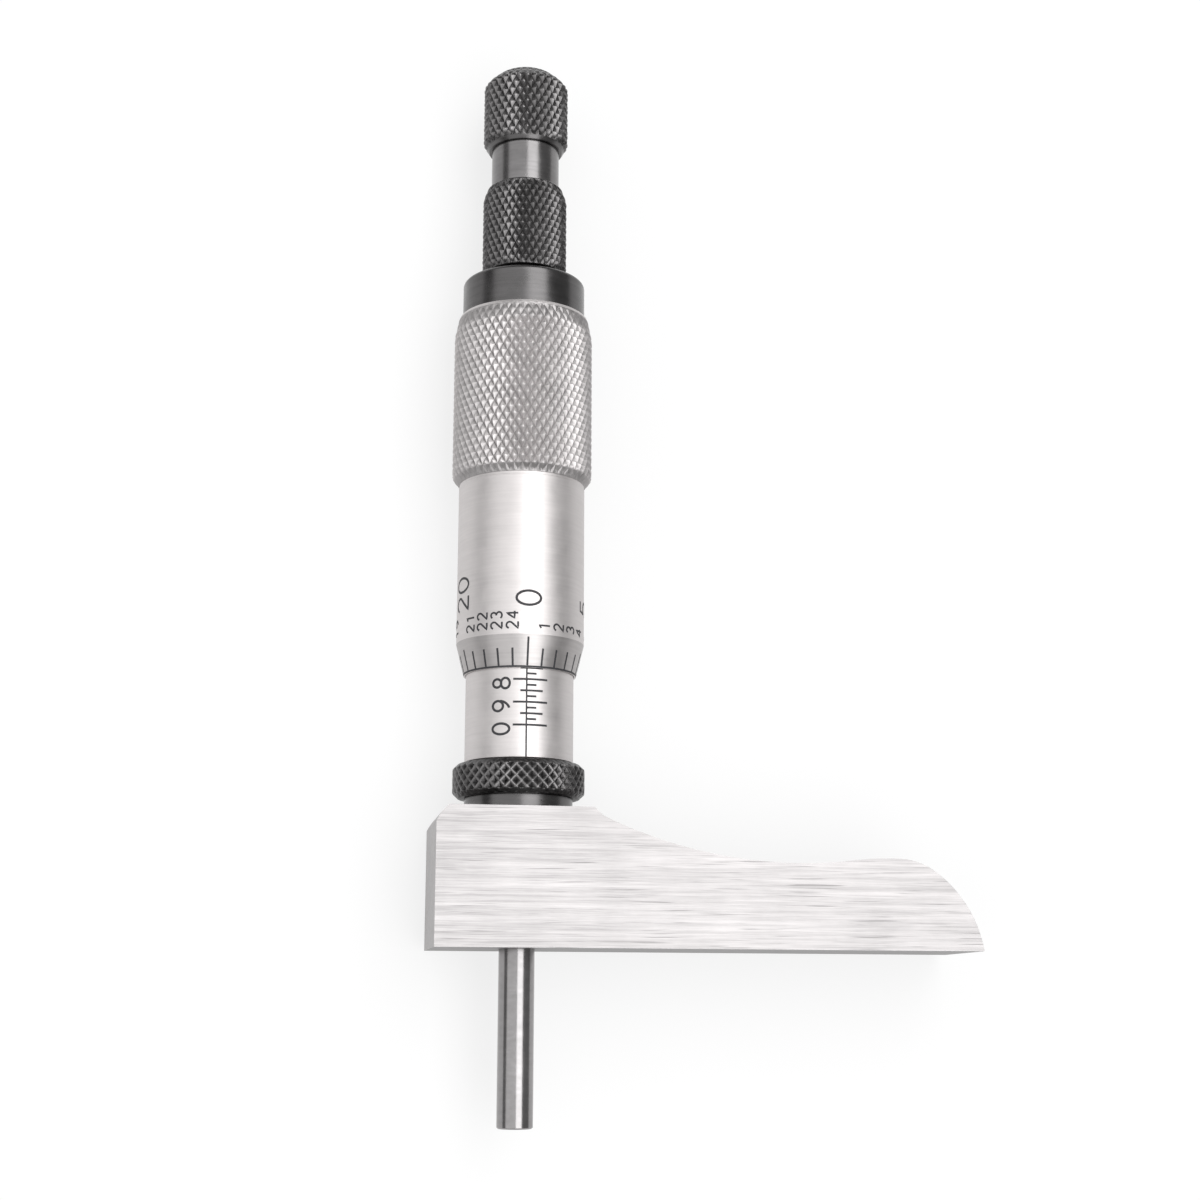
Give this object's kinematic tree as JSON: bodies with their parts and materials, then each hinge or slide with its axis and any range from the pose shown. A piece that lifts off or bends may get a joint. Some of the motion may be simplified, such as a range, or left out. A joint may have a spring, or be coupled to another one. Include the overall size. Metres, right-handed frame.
{
  "type": "depth micrometer",
  "caption": "Depth micrometer: half base with a hollow-backed wing, graduated sleeve, knurled thimble, lock nut, ratchet and domed rod cap, rod screwed part way out.",
  "frame": {"origin": "where the spindle axis crosses the base's reference face", "axes": "+Y along the spindle axis from the reference face towards the ratchet, +X along the base towards its nose, +Z out of the front, away from the surface that the instrument lies on"},
  "size_m": [0.0614, 0.1247, 0.0162],
  "materials": {
    "ground_steel": "ground",
    "satin_chrome": "satin",
    "polished_steel": "polished",
    "dark_steel": "polished, dark",
    "dark_knurl": "knurled, dark",
    "black_steel": "black oxide",
    "plain_steel": "turned",
    "bronze": "turned"
  },
  "bodies": {
    "base": {"half_base": "ground_steel", "barrel": "dark_steel", "graduated_sleeve": "satin_chrome", "adjusting_nut": "plain_steel", "lock_bush": "bronze"},
    "lock_nut": {"lock_nut": "black_steel"},
    "rod": {"measuring_rod": "polished_steel", "rod_adjusting_nut": "plain_steel", "rod_jam_nut": "plain_steel"},
    "thimble": {"spindle": "plain_steel", "thimble": "satin_chrome", "thimble_cap": "dark_steel", "ratchet_wheel": "plain_steel", "neck_bush": "dark_steel"},
    "ratchet": {"ratchet_sleeve": "dark_knurl", "ratchet_driver": "plain_steel", "ratchet_spring": "plain_steel", "spring_washer": "plain_steel"},
    "cap_washer": {"cap_washer": "plain_steel"},
    "rod_cap": {"rod_cap": "dark_knurl"}
  },
  "joints": [
    {"name": "lock_nut_turn", "type": "hinge", "parent": "base", "child": "lock_nut", "pos_m": [0, 0.0184, 0], "axis": [0, 1, 0], "range_deg": [0, 60]},
    {"name": "spindle_feed", "type": "slide", "parent": "base", "child": "rod", "axis": [0, 1, 0], "range_m": [-0.00635, 0.01905]},
    {"name": "thimble_turn", "type": "hinge", "parent": "rod", "child": "thimble", "pos_m": [0, 0.05, 0], "axis": [0, 1, 0], "range_deg": [-3600.01, 10800.01]},
    {"name": "ratchet_turn", "type": "hinge", "parent": "thimble", "child": "ratchet", "pos_m": [0, 0.084, 0], "axis": [0, 1, 0], "continuous": true},
    {"name": "cap_lift", "type": "slide", "parent": "thimble", "child": "cap_washer", "axis": [0, 1, 0], "range_m": [0, 0.00317]},
    {"name": "cap_turn", "type": "hinge", "parent": "cap_washer", "child": "rod_cap", "pos_m": [0, 0.1, 0], "axis": [0, 1, 0], "range_deg": [0, 1800.01]}
  ],
  "couplings": [
    {"joint": "thimble_turn", "follows": "spindle_feed", "rad_per_m": 9894.8},
    {"joint": "cap_turn", "follows": "cap_lift", "rad_per_m": 9894.8}
  ]
}
